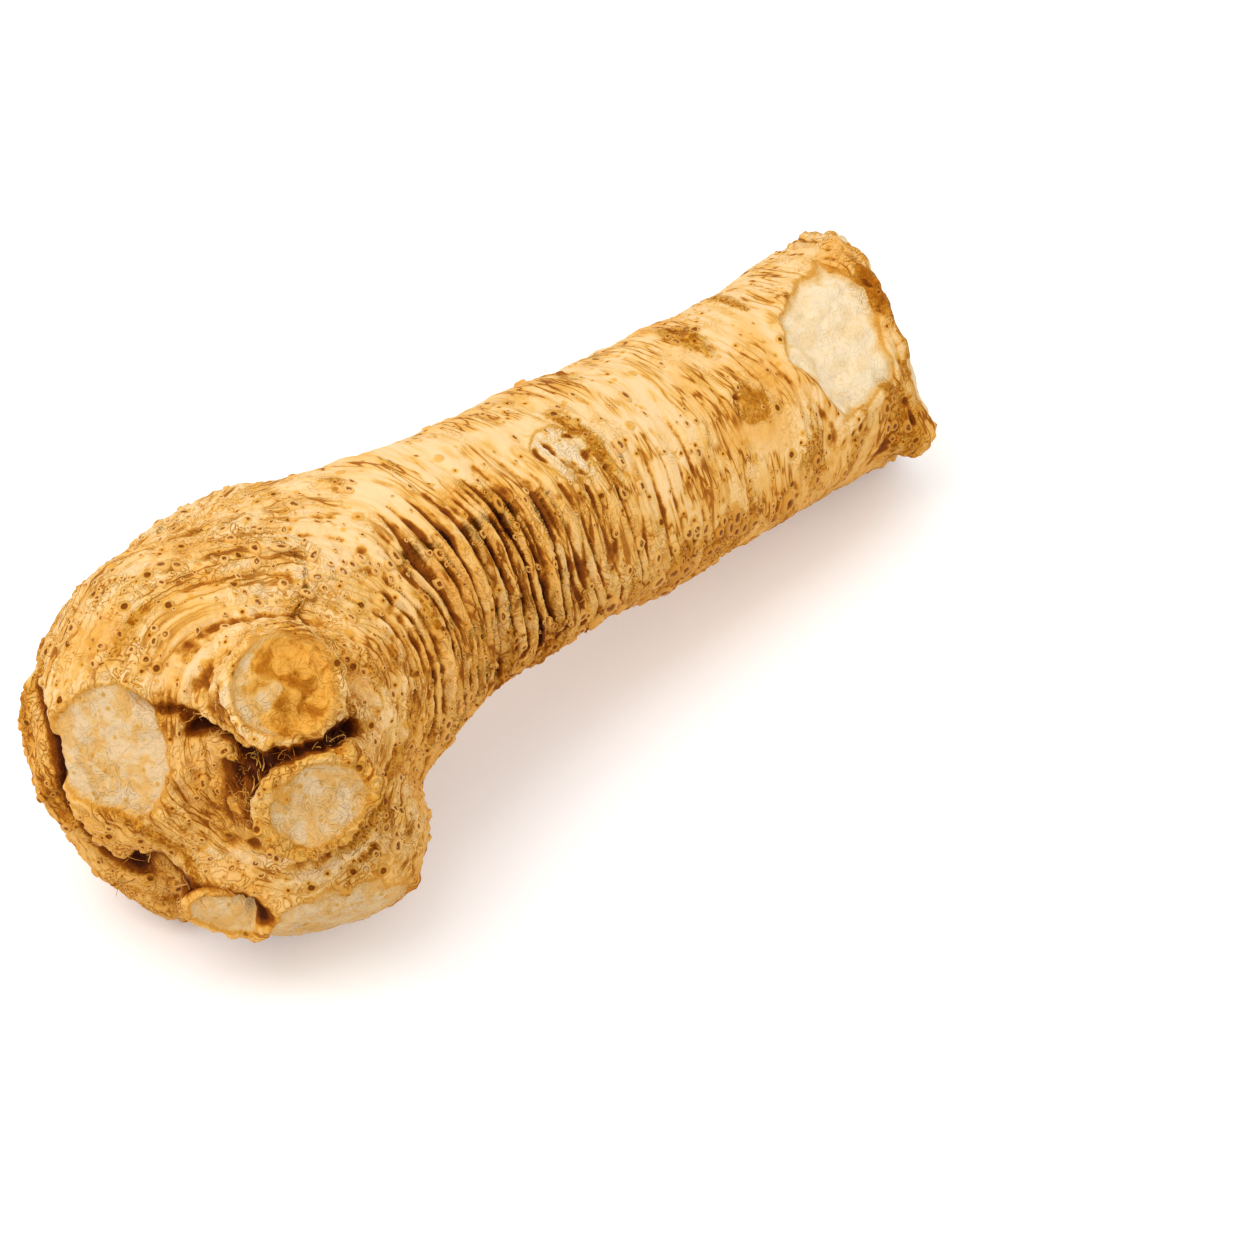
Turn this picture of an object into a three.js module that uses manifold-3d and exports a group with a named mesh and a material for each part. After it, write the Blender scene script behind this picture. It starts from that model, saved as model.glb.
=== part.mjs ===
// A horseradish root lying on its side, as lifted from the field and trimmed with a knife.
//
// The root grew as one piece, so it is one solid: a long shaft, a swollen crown made of lobes and of the
// stubs of its side shoots, and a tail cut off slantwise, with one stub of a side root. Where the knife
// passed, the flesh ends in a flat face. Millimetres, +Z up. The shaft runs along +X from the crown to the
// tail. The root is shaped about a point low in the middle of the shaft, and is moved at the end so that
// the origin is on the surface that it lies on, under the middle of its box.

import * as THREE from "three";
import { LoftGeometry } from "three/addons/geometries/LoftGeometry.js";
import { ImprovedNoise } from "three/addons/math/ImprovedNoise.js";
import { mergeVertices } from "three/addons/utils/BufferGeometryUtils.js";
import Module from "manifold-3d";

const wasm = await Module();
wasm.setup();

// ---------- Driving dimensions ----------

const SECTION_POINTS = 42; // points round each cross section of the body
const SECTION_STEP = 4.6; // distance between cross sections
const STUB_SIDES = 28; // points round a stub
const LOBE_DETAIL = 7; // how often each edge of a lobe's twenty triangles is divided
const SWELL = 1.2; // how far the flesh swells and sinks at random
const SWELL_SIZE = 19; // distance between one swelling and the next
const PRESSED = 1; // how deep the root's own weight has pressed its lowest flesh flat

// The body's middle line and its half width and half height, from inside the crown to the tail.
const STATIONS = [
  { x: -98, y: 0, z: 38, wide: 14, high: 14 },
  { x: -92, y: 0, z: 38, wide: 24, high: 24 },
  { x: -82, y: 0, z: 38, wide: 30, high: 31 },
  { x: -68, y: 0, z: 40, wide: 30.5, high: 31 },
  { x: -54, y: 0, z: 42, wide: 28, high: 28 },
  { x: -40, y: 0, z: 42.5, wide: 25.5, high: 25 },
  { x: -24, y: 0, z: 40.5, wide: 23.5, high: 23.5 },
  { x: 0, y: 0, z: 37, wide: 22.8, high: 22.8 },
  { x: 26, y: 0, z: 33.6, wide: 22.6, high: 22.6 },
  { x: 50, y: 0, z: 30.6, wide: 22.4, high: 22.4 },
  { x: 70, y: 1, z: 28.6, wide: 21.8, high: 22.4 },
  { x: 82, y: 2.4, z: 27, wide: 21.8, high: 24.4 },
  { x: 92, y: 2.6, z: 26.1, wide: 21.5, high: 23 },
  { x: 102, y: 2.4, z: 26, wide: 18, high: 19 },
  { x: 106, y: 2.4, z: 26, wide: 14, high: 15 },
];

// Where the knife took flesh off the body: everything on the toward side of a flat face through at. The
// strip peeled off beside the tail is only as long as its length.
const TAIL_CUT = { at: [90.3, 0, 28], toward: [0.9, -0.38, 0.2] };
const PEELED_CUT = { at: [66, -12.2, 44.7], toward: [0.04, -0.6, 0.79], length: 20 };

// Each lobe is an egg-shaped swelling: its middle, its three half sizes, and the directions of the first
// two. A lobe with a cut has lost everything on the toward side of a flat face through at.
const LOBES = {
  broad: {
    middle: [-84, 4, 41.8], half: [29.5, 28, 31.5], along: [-0.93, -0.2, 0.3], across: [0, 1, 0.6],
    cut: { at: [-109.4, -1.5, 50], toward: [-0.91, -0.25, 0.3] },
  },
  bulge: { middle: [-79, -15, 43], half: [24, 16.5, 25], along: [1, -0.2, -0.1], across: [0.2, 1, 0] },
  shoulder: { middle: [-65, 13.5, 48], half: [24, 20, 19], along: [1, -0.2, 0], across: [0.2, 1, 0] },
  lower: {
    middle: [-82, -20, 25], half: [21, 17, 17], along: [0.85, -0.5, 0], across: [0.4, 0.8, 0],
    cut: { at: [-88, -30.5, 17], toward: [-0.4, -0.72, -0.57] },
  },
  flap: {
    middle: [-97, 13.5, 20.3], half: [25, 8.7, 15], along: [0.03, -0.78, -0.61], across: [0.82, -0.33, 0.45],
  },
};

// Each stub stands on the point foot, leans toward its knife cut, and is as tall as height. Its sides go
// from the radius base, through belly, to the flat face. oval stretches it along the direction long.
const STUBS = {
  upper: {
    foot: [-88.2, -18.4, 58.4], toward: [-0.22, -0.67, 0.71], height: 14,
    base: 11.8, belly: 10.6, face: 8.4, oval: 1.05, long: [1, 0, 0.3],
  },
  middle: {
    foot: [-89.7, -24.2, 46.3], toward: [-0.35, -0.87, 0.34], height: 16,
    base: 11, belly: 10, face: 7.8, oval: 1.18, long: [1, -0.3, 0.1],
  },
  small: {
    foot: [-96, -16, 26.5], toward: [-0.72, -0.62, -0.24], height: 12.5,
    base: 9, belly: 7, face: 5.2, oval: 1.35, long: [0.6, -0.6, -0.3],
  },
  side: {
    foot: [76.5, -15.5, 23], toward: [0.75, -0.55, -0.35], height: 8,
    base: 7.5, belly: 6, face: 4.6, oval: 1.1, long: [1, 1, 0],
  },
};

const noise = new ImprovedNoise();

// ---------- Helpers ----------

/** A closed geometry as a manifold-3d solid. */
function solidOf(geometry) {
  const bare = new THREE.BufferGeometry();
  bare.setAttribute("position", geometry.getAttribute("position"));
  bare.setIndex(geometry.index);
  const merged = mergeVertices(bare, 1e-3);
  return new wasm.Manifold(
    new wasm.Mesh({
      numProp: 3,
      vertProperties: merged.getAttribute("position").array,
      triVerts: new Uint32Array(merged.index.array),
    }),
  );
}

/** A manifold-3d solid as a geometry. */
function geometryOf(solid) {
  const mesh = solid.getMesh();
  const geometry = new THREE.BufferGeometry();
  geometry.setAttribute("position", new THREE.BufferAttribute(mesh.vertProperties, 3));
  geometry.setIndex(new THREE.BufferAttribute(mesh.triVerts, 1));
  geometry.computeVertexNormals();
  return geometry;
}

/** A turn that takes X to the first direction and Y as near as it can to the second. */
function turn(first, second) {
  const x = new THREE.Vector3(...first).normalize();
  const y = new THREE.Vector3(...second);
  y.addScaledVector(x, -y.dot(x)).normalize();
  return new THREE.Matrix4().makeBasis(x, y, new THREE.Vector3().crossVectors(x, y));
}

/** How far the flesh stands proud of its smooth form at a point. */
function swelling({ x, y, z }) {
  return SWELL * noise.noise(x / SWELL_SIZE + 7.3, y / SWELL_SIZE + 2.1, z / SWELL_SIZE + 4.7);
}

/** Everything on the toward side of the flat face through at, as a box to cut away. */
function beyond({ at, toward, length = 120 }) {
  const box = new THREE.BoxGeometry(60, length, 120);
  box.translate(30, 0, 0);
  box.applyMatrix4(turn(toward, [1, 0, 0.01]).setPosition(...at));
  return solidOf(box);
}

// ---------- The body ----------

/** Cross sections along the body, each an ellipse in a plane across X, smoothly between the stations. */
function bodySections() {
  const middle = new THREE.CatmullRomCurve3(STATIONS.map((s) => new THREE.Vector3(s.x, s.y, s.z)));
  const halves = new THREE.CatmullRomCurve3(STATIONS.map((s) => new THREE.Vector3(s.x, s.wide, s.high)));
  const count = Math.round(middle.getLength() / SECTION_STEP);
  const sections = [];
  for (let i = 0; i <= count; i++) {
    const centre = middle.getPoint(i / count);
    const half = halves.getPoint(i / count);
    const section = [];
    for (let j = 0; j < SECTION_POINTS; j++) {
      const angle = (j / SECTION_POINTS) * 2 * Math.PI;
      const out = new THREE.Vector3(0, half.y * Math.sin(angle), half.z * Math.cos(angle));
      const point = centre.clone().add(out);
      if (i < count) point.addScaledVector(out.normalize(), swelling(point));
      section.push(point);
    }
    sections.push(section.reverse());
  }
  return sections;
}

// ---------- The lobes and the stubs ----------

/** A lobe as a swollen ball stretched to its half sizes, less what the knife took. */
function lobeSolid({ middle, half, along, across, cut }) {
  const ball = new THREE.IcosahedronGeometry(1, LOBE_DETAIL);
  ball.scale(...half);
  ball.applyMatrix4(turn(along, across).setPosition(...middle));
  const centre = new THREE.Vector3(...middle);
  const points = ball.getAttribute("position");
  for (let i = 0; i < points.count; i++) {
    const point = new THREE.Vector3().fromBufferAttribute(points, i);
    const out = point.clone().sub(centre).normalize();
    points.setXYZ(i, ...point.addScaledVector(out, swelling(point)));
  }
  const lobe = solidOf(ball);
  return cut ? lobe.subtract(beyond(cut)) : lobe;
}

/** A stub as a turned shape: sides from the buried foot up to a rounded rim, then the flat knife cut. */
function stubSolid({ foot, toward, height, base, belly, face, oval, long }) {
  const buried = base * 0.6;
  const side = new THREE.SplineCurve([
    new THREE.Vector2(base * 0.7, -buried),
    new THREE.Vector2(base, 0),
    new THREE.Vector2(belly * 1.02, height * 0.45),
    new THREE.Vector2(belly, height * 0.75),
    new THREE.Vector2((belly + face) / 2 + 0.7, height * 0.96),
    new THREE.Vector2(face, height),
  ]);
  const profile = [new THREE.Vector2(0, -buried), ...side.getPoints(11), new THREE.Vector2(0, height)];
  const turned = new THREE.LatheGeometry(profile, STUB_SIDES);
  turned.rotateZ(-Math.PI / 2);
  turned.scale(1, oval, 1);
  turned.applyMatrix4(turn(toward, long).setPosition(...foot));
  return solidOf(turned);
}

// ---------- The root ----------

let root = solidOf(new LoftGeometry(bodySections(), { capStart: true, capEnd: true }));
root = root.subtract(beyond(PEELED_CUT));
for (const lobe of Object.values(LOBES)) root = root.add(lobeSolid(lobe));
for (const stub of Object.values(STUBS)) root = root.add(stubSolid(stub));
root = root.subtract(beyond(TAIL_CUT));

// The floor, a little above the lowest flesh, so that the root lies on two flattened patches.
const low = root.boundingBox().min[2] + PRESSED;
root = root.subtract(beyond({ at: [0, 0, low], toward: [0, 0, -1], length: 300 }));

// The origin goes under the middle of the root's box.
const { min, max } = root.boundingBox();
root = root.translate([-(min[0] + max[0]) / 2, -(min[1] + max[1]) / 2, -min[2]]);

const mesh = new THREE.Mesh(
  geometryOf(root),
  new THREE.MeshStandardMaterial({ color: 0xcfa468, roughness: 0.75, metalness: 0 }),
);
mesh.name = "root";

const group = new THREE.Group();
group.add(mesh);

export default group;
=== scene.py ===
# %% [markdown]
# # A horseradish root
#
# A horseradish root lies on its side on a pale table. It grew as one piece: a long shaft ringed with
# wrinkles, a swollen crown where the leaf shoots were, and a tail cut off slantwise. A knife trimmed the
# shoots to stubs, so pale flesh shows in flat faces among tan, corky skin.
#
# The CAD frame holds the root's plain form at its real size. This lesson covers that form with one fine
# grid of points, wrinkles it with noise, sets warts and root hairs on it, and stains it with procedural
# materials. Blender works in metres, and a grower thinks in millimetres: once the skin is a grid of points
# its lengths are in millimetres, and each mesh is scaled back to metres when it is made.

import functools
import math

import bmesh
import bpy
import mathutils
import numpy as np
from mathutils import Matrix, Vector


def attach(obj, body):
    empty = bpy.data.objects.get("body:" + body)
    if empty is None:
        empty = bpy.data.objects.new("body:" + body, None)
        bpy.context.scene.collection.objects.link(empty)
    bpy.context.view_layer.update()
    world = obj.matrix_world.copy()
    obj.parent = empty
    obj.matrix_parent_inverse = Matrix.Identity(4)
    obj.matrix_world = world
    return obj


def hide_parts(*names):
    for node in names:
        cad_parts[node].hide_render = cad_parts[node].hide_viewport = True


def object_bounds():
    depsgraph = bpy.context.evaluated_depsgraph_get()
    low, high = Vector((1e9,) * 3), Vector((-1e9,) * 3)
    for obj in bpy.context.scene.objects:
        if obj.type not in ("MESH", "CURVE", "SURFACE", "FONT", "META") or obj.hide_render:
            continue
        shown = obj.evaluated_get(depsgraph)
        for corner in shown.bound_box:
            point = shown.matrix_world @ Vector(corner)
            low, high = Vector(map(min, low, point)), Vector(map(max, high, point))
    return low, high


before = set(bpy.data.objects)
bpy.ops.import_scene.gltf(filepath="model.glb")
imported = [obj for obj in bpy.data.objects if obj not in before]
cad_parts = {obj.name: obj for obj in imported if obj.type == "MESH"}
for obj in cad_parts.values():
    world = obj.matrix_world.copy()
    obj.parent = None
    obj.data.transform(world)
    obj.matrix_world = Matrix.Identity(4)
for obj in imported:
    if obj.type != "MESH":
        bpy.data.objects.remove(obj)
CAD_BOX = [list(corner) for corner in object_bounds()]
MM = 0.001  # metres in a millimetre

low, high = np.array(CAD_BOX[0]), np.array(CAD_BOX[1])
print("the root's box in mm:", ((high - low) / MM).round(1))

# %% [markdown]
# ## The plain form, melted
#
# In the frame the crown's lobes and stubs meet in sharp seams, and the swellings are built of flat
# triangles. Flesh that grew together has neither. A voxel remesh turns the form into one even skin, and
# a few rounds of smoothing melt the seams by about a millimetre. Rounding every edge by hand would also
# work, but would have to be done again whenever the form changes.

# %% Melt a copy of the plain form
SAME_CORNER = 0.002 * MM  # corners nearer than this are one
VOXEL = 0.9 * MM
MELT_ROUNDS = 6
cad_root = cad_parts["root"]


def merged_copy(source, name):
    """A copy of a CAD node as its own object, with the loose triangles' shared corners merged."""
    mesh = source.data.copy()
    shape = bmesh.new()
    shape.from_mesh(mesh)
    bmesh.ops.remove_doubles(shape, verts=shape.verts, dist=SAME_CORNER)
    shape.to_mesh(mesh)
    shape.free()
    copy = bpy.data.objects.new(name, mesh)
    copy.matrix_world = source.matrix_world
    bpy.context.scene.collection.objects.link(copy)
    return copy


form = merged_copy(cad_root, "plain_form")
melted = merged_copy(cad_root, "melted_form")
remesh = melted.modifiers.new("even skin", "REMESH")
remesh.mode = "VOXEL"
remesh.voxel_size = VOXEL
smooth = melted.modifiers.new("melt", "SMOOTH")
smooth.factor = 0.5
smooth.iterations = MELT_ROUNDS
print("plain form:", len(form.data.polygons), "triangles")

# %% [markdown]
# ## Where the knife went
#
# Each cut end is a flat face. Their places could be typed in, but would then have to be kept right by
# hand. So they are found in the plain form itself: each cut is named by the way it roughly faces, and the
# largest flat face that faces that way is the cut. Later cells can then say "the upper stub".

# %% Find the flat faces
FACES_ALIKE = 4  # degrees
PLANES_APART = 0.5 * MM
CUTS_FACE = {
    "upper": (-0.22, -0.67, 0.71),
    "middle": (-0.35, -0.87, 0.34),
    "broad": (-0.91, -0.25, 0.30),
    "lower": (-0.40, -0.72, -0.57),
    "small": (-0.72, -0.62, -0.24),
    "side": (0.75, -0.55, -0.35),
    "tail": (0.90, -0.38, 0.20),
    "peeled": (0.04, -0.60, 0.79),
}


def corners_of(mesh):
    """Every triangle's three corners, as an array of triangles by corners by x, y, z."""
    points = np.empty(len(mesh.vertices) * 3)
    mesh.vertices.foreach_get("co", points)
    mesh.calc_loop_triangles()
    triangles = np.empty(len(mesh.loop_triangles) * 3, dtype=np.int32)
    mesh.loop_triangles.foreach_get("vertices", triangles)
    return points.reshape(-1, 3)[triangles.reshape(-1, 3)]


def unit(vectors):
    """Vectors scaled to length one."""
    return vectors / np.maximum(np.linalg.norm(vectors, axis=-1, keepdims=True), 1e-12)


def flat_face(corners, facing):
    """The largest flat face that faces a given way: its middle, its facing and its radius.

    Triangles that face nearly the wanted way are sorted into planes by their distance along it. The plane
    with the most area is the face, and the radius is that of a circle with its area.
    """
    across = np.cross(corners[:, 1] - corners[:, 0], corners[:, 2] - corners[:, 0])
    area = np.linalg.norm(across, axis=1) / 2
    facing = unit(np.array(facing, dtype=float))
    alike = (unit(across) @ facing > math.cos(math.radians(FACES_ALIKE))) & (area > 0)
    middles = corners.mean(axis=1)
    plane = np.round((middles @ facing) / PLANES_APART).astype(int)
    _, which = np.unique(plane[alike], return_inverse=True)
    areas = np.bincount(which, weights=area[alike])
    best = np.flatnonzero(alike)[which == areas.argmax()]
    middle = np.average(middles[best], axis=0, weights=area[best])
    normal = unit(np.average(unit(across)[best], axis=0, weights=area[best]))
    return {"middle": middle, "facing": normal, "radius": math.sqrt(area[best].sum() / math.pi)}


form_corners = corners_of(form.data)
cuts = {name: flat_face(form_corners, facing) for name, facing in CUTS_FACE.items()}
for name, cut in cuts.items():
    print(f"{name:>7} cut: middle {(cut['middle'] / MM).round(1)}, radius {cut['radius'] / MM:.1f} mm")

# %% [markdown]
# ## A core that is blown out to the skin
#
# The visible skin has to be one closed surface with its points in neat rows, because wrinkles run round
# the root and are easiest to shape on rows that run round it too. A remesh alone gives points in no order.
# So a thin core runs through the root's middle from the crown's largest cut to the tail's cut. Every point
# of the core knows a direction outward. Geometry nodes' Raycast shoots each point along its direction and
# stops it on the melted form.

# %% The core's middle line and its directions
CORE_ROWS = 900  # rows from the crown to the tail before they are evened out
CORE_COLUMNS = 400  # points round each row
CROWN_SHARE, TAIL_SHARE = 0.36, 0.14  # of the rows
CROWN_DEPTH = 31 * MM  # from the crown's largest cut in to the start of the middle line
TAIL_DEPTH = 20 * MM  # from the tail's cut in to the end of the middle line
SLICES = 8  # places between them where the form is sliced to find its middle
FIRST_SLICE, LAST_SLICE = 40 * MM, 25 * MM  # along X, in from the middle line's ends


def slice_middle(points, x, reach=6 * MM):
    """The middle of the box round the points near a plane across X."""
    near = points[np.abs(points[:, 0] - x) < reach]
    return (near.min(axis=0) + near.max(axis=0)) / 2


def smooth_step(edge0, edge1, values):
    """0 below the first edge, 1 above the second, and an S between them."""
    t = np.clip((values - edge0) / (edge1 - edge0), 0, 1)
    return t * t * (3 - 2 * t)


def mix(a, b, t):
    """a where t is 0, b where t is 1, and in proportion between."""
    return a + (b - a) * t


crown_end = cuts["broad"]["middle"] - CROWN_DEPTH * cuts["broad"]["facing"]
tail_end = cuts["tail"]["middle"] - TAIL_DEPTH * cuts["tail"]["facing"]
all_points = form_corners.reshape(-1, 3)
middle_x = np.linspace(crown_end[0] + FIRST_SLICE, tail_end[0] - LAST_SLICE, SLICES)
middle_line = np.array([slice_middle(all_points, x) * (0, 1, 1) + (x, 0, 0) for x in middle_x])
middle_line = np.vstack([crown_end, middle_line, tail_end])
print("the middle line in mm:", (middle_line / MM).round(0).tolist())

# %% Lay out the core
crown_rows = int(CORE_ROWS * CROWN_SHARE)
tail_rows = int(CORE_ROWS * TAIL_SHARE)
shaft_rows = CORE_ROWS - crown_rows - tail_rows

# How far each row's rays open from the way the row faces: straight back at the crown's pole, square
# across along the shaft, and straight ahead at the tail's pole.
opening = np.concatenate(
    [
        np.linspace(math.pi, math.pi / 2, crown_rows),
        np.full(shaft_rows, math.pi / 2),
        np.linspace(math.pi / 2, 0, tail_rows),
    ]
)
along = np.concatenate([np.zeros(crown_rows), np.linspace(0, 1, shaft_rows), np.ones(tail_rows)])
line_length = np.concatenate([[0], np.cumsum(np.linalg.norm(np.diff(middle_line, axis=0), axis=1))])
line_length /= line_length[-1]
row_middle = np.stack([np.interp(along, line_length, middle_line[:, k]) for k in range(3)], axis=1)

# The rows face away from the crown's largest cut at one end, along the tail's cut at the other, and along
# X between them.
row_facing = mix(-cuts["broad"]["facing"], np.array([1.0, 0, 0]), smooth_step(0, 0.35, along)[:, None])
row_facing = unit(mix(row_facing, cuts["tail"]["facing"], smooth_step(0.7, 1, along)[:, None]))
row_up = unit(np.array([0, 0, 1.0]) - row_facing[:, 2:] * row_facing)
row_side = np.cross(row_facing, row_up)

# The columns start and end underneath, where nobody sees their seam.
around = np.linspace(-math.pi, math.pi, CORE_COLUMNS, endpoint=False)
outward = (
    np.cos(opening)[:, None, None] * row_facing[:, None]
    + np.sin(opening)[:, None, None]
    * (
        np.cos(around)[None, :, None] * row_up[:, None]
        + np.sin(around)[None, :, None] * row_side[:, None]
    )
)
core = np.broadcast_to(row_middle[:, None], outward.shape)
print("core:", core.shape[0], "rows of", core.shape[1], "points")

# %% Blow the core out onto the melted form


def blown_out(starts, directions, target):
    """Each start moved along its direction to where it first meets the target, by geometry nodes."""
    mesh = bpy.data.meshes.new("core")
    mesh.from_pydata(starts.reshape(-1, 3), [], [])
    mesh.attributes.new("outward", "FLOAT_VECTOR", "POINT").data.foreach_set("vector", directions.ravel())
    cloud = bpy.data.objects.new("core", mesh)
    bpy.context.scene.collection.objects.link(cloud)

    tree = bpy.data.node_groups.new("blow out", "GeometryNodeTree")
    tree.interface.new_socket("Geometry", in_out="INPUT", socket_type="NodeSocketGeometry")
    tree.interface.new_socket("Geometry", in_out="OUTPUT", socket_type="NodeSocketGeometry")
    nodes, links = tree.nodes, tree.links
    given, result = nodes.new("NodeGroupInput"), nodes.new("NodeGroupOutput")
    outward_attribute = nodes.new("GeometryNodeInputNamedAttribute")
    outward_attribute.data_type = "FLOAT_VECTOR"
    outward_attribute.inputs["Name"].default_value = "outward"
    skin = nodes.new("GeometryNodeObjectInfo")
    skin.transform_space = "ORIGINAL"
    skin.inputs["Object"].default_value = target
    ray = nodes.new("GeometryNodeRaycast")
    ray.inputs["Ray Length"].default_value = 1.0
    move = nodes.new("GeometryNodeSetPosition")
    links.new(given.outputs["Geometry"], move.inputs["Geometry"])
    links.new(skin.outputs["Geometry"], ray.inputs["Target Geometry"])
    links.new(next(s for s in outward_attribute.outputs if s.enabled), ray.inputs["Ray Direction"])
    links.new(ray.outputs["Is Hit"], move.inputs["Selection"])
    links.new(ray.outputs["Hit Position"], move.inputs["Position"])
    links.new(move.outputs["Geometry"], result.inputs["Geometry"])
    cloud.modifiers.new("blow out", "NODES").node_group = tree

    moved = cloud.evaluated_get(bpy.context.evaluated_depsgraph_get()).data
    points = np.empty(len(moved.vertices) * 3)
    moved.vertices.foreach_get("co", points)
    bpy.data.objects.remove(cloud)
    return points.reshape(starts.shape)


skin = blown_out(core, outward, melted)
reach = np.linalg.norm(skin - core, axis=-1)
print(f"the core reached {reach.min() / MM:.1f} to {reach.max() / MM:.1f} mm out")

# %% [markdown]
# ## Even rows
#
# The rays land close together on near parts of the skin and far apart on others, and wrinkles would come
# out sharp here and blunt there. Each column, and then each row, is walked with a measuring tape and marked
# again at even steps. The steps are finer on the crown and on the upper half, where the wrinkles will be
# looked at, and coarser underneath.

# %% Space the points evenly
ROWS = 664
COLUMNS = 294  # the root becomes two meshes of just under 200,000 triangles each
UPPER_SHARE = 1.5  # how much closer the points lie on the upper half than underneath
CROWN_EXTRA = 0.35  # how much closer they lie on the crown than along the shaft
SHARED_TAPE = 6  # lines on each side that a tape is smoothed over


def evened(lines, weights, count, closed=False):
    """Points spaced evenly along each line of the grid, nearer together where the weight is higher.

    The tape's length is the running sum of the steps times their weights. The lines next to each other
    share a tape smoothed over a few lines, so that the cross lines stay smooth too.
    """
    if closed:
        lines = np.concatenate([lines, lines[:, :1]], axis=1)
        weights = np.concatenate([weights, weights[:, :1]], axis=1)
    steps = np.linalg.norm(np.diff(lines, axis=1), axis=-1) * (weights[:, 1:] + weights[:, :-1]) / 2
    steps = steps + 1e-6
    tape = np.concatenate([np.zeros((len(lines), 1)), np.cumsum(steps, axis=1)], axis=1)
    tape /= tape[:, -1:]
    window = np.hanning(2 * SHARED_TAPE + 3)[1:-1]
    window /= window.sum()
    if closed:
        padded = np.concatenate([tape[:1]] * SHARED_TAPE + [tape] + [tape[-1:]] * SHARED_TAPE)
    else:
        padded = np.concatenate([tape[-SHARED_TAPE:], tape, tape[:SHARED_TAPE]])
    tape = sum(share * padded[k : k + len(tape)] for k, share in enumerate(window))
    marks = np.linspace(0, 1, count, endpoint=not closed)
    new = np.empty((len(lines), count, 3))
    for line, points in enumerate(lines):
        for axis in range(3):
            new[line, :, axis] = np.interp(marks, tape[line], points[:, axis])
    return new


skin_mm = skin / MM
crown_x = cuts["middle"]["middle"][0] / MM
nearness = 1 + CROWN_EXTRA * smooth_step(crown_x + 60, crown_x + 30, skin_mm[..., 0])
columns_first = evened(skin_mm.transpose(1, 0, 2), nearness.T, ROWS)
rows_of_points = columns_first.transpose(1, 0, 2)
upper = 1 + (UPPER_SHARE - 1) * 0.5 * (1 + np.cos(around - 0.5))  # most at 0.5 radians from the top
upper = np.broadcast_to(upper, rows_of_points.shape[:2])
rows_of_points = evened(rows_of_points, upper, COLUMNS, closed=True)
steps_along = np.linalg.norm(np.diff(rows_of_points, axis=0), axis=-1)
steps_round = np.linalg.norm(rows_of_points - np.roll(rows_of_points, 1, axis=1), axis=-1)
print(f"steps along: middle {np.median(steps_along):.2f} mm, widest {steps_along.max():.2f} mm")
print(f"steps round: middle {np.median(steps_round):.2f} mm, widest {steps_round.max():.2f} mm")

# %% [markdown]
# ## Noise for a grown thing
#
# Skin that has grown never repeats, so its bumps come from Perlin noise: random slopes sit on the corners
# of a grid of unit cubes and are blended smoothly between them. Blender's own noise would do, but only
# inside nodes, and here every later step needs the numbers. Stretching the points before they are looked
# up stretches the bumps, which is how a wrinkle gets long and thin: places in millimetres divided by 24
# give bumps 24 mm wide.

# %% Perlin noise and its relatives
RANDOM = np.random.default_rng(7)
SHUFFLE = np.tile(RANDOM.permutation(256), 3)
SLOPES = unit(RANDOM.normal(size=(256, 3)))


def noise(points, salt=0):
    """Perlin noise, from about -0.8 to 0.8, with bumps about one unit across.

    Each corner of a point's cell gives the point's step from it times its random slope, and the eight are
    blended by nearness. Another salt gives another pattern.
    """
    cell = np.floor(points).astype(int)
    inside = points - cell
    fade = inside**3 * (inside * (inside * 6 - 15) + 10)
    cell = cell & 255
    total = np.zeros(points.shape[:-1])
    for corner in np.ndindex(2, 2, 2):
        x, y, z = (cell[..., k] + corner[k] for k in range(3))
        slope = SLOPES[SHUFFLE[SHUFFLE[SHUFFLE[(x + salt) & 255] + (y & 255)] + (z & 255)]]
        share = np.prod([fade[..., k] if corner[k] else 1 - fade[..., k] for k in range(3)], axis=0)
        total += share * ((inside - corner) * slope).sum(axis=-1)
    return total * 1.5


def layered(points, layers, salt=0):
    """Noise with finer, weaker noise laid over it: each layer is half as wide and half as high."""
    return sum(noise(points * 2.0**k, salt + 17 * k) / 2.0**k for k in range(layers))


def folds(points, salt=0):
    """Rounded ridges with narrow creases between them: noise folded up where it would go below 0."""
    return np.abs(noise(points, salt)) * 2


print("noise at three places:", noise(np.array([[0.5, 0.5, 0.5], [1.5, 0.2, 0.7], [9.1, 3.3, 4.8]])).round(2))

# %% Work on the grid


def blurred(field, times):
    """Each point shared with its neighbours, a quarter each side, along the grid and then round it.

    Done n times, it spreads a point over about the square root of n steps.
    """
    for _ in range(times):
        padded = np.concatenate([field[:1], field, field[-1:]])
        field = padded[:-2] / 4 + padded[1:-1] / 2 + padded[2:] / 4
        field = np.roll(field, 1, axis=1) / 4 + field / 2 + np.roll(field, -1, axis=1) / 4
    return field


def facing_of(points):
    """The way the skin faces at each point: across its step along the grid and its step round it."""
    along_step = np.gradient(points, axis=0)
    round_step = np.roll(points, -1, axis=1) - np.roll(points, 1, axis=1)
    return unit(blurred(np.cross(round_step, along_step), 4) + 1e-12)


base = blurred(rows_of_points, 9)
facing = facing_of(base)
X, Y, Z = np.moveaxis(base, -1, 0)
print("the skin's grid:", base.shape[0], "rows of", base.shape[1], "points")

# %% [markdown]
# ## Where the wrinkles run
#
# On the shaft the wrinkles run round the root, like creases in a sleeve pushed up an arm. On the crown
# they bend round the two trimmed shoots. One number does both: on the shaft it is the distance along the
# root, on the crown the distance from the point between the two shoots. Wrinkles are drawn where that
# number passes from one step to the next. Each could be a line drawn by hand, but there are hundreds.

# %% Distance along the growth


def gaussian(values, middle, width):
    """1 at the middle, falling off evenly on both sides."""
    return np.exp(-(((values - middle) / width) ** 2))


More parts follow.
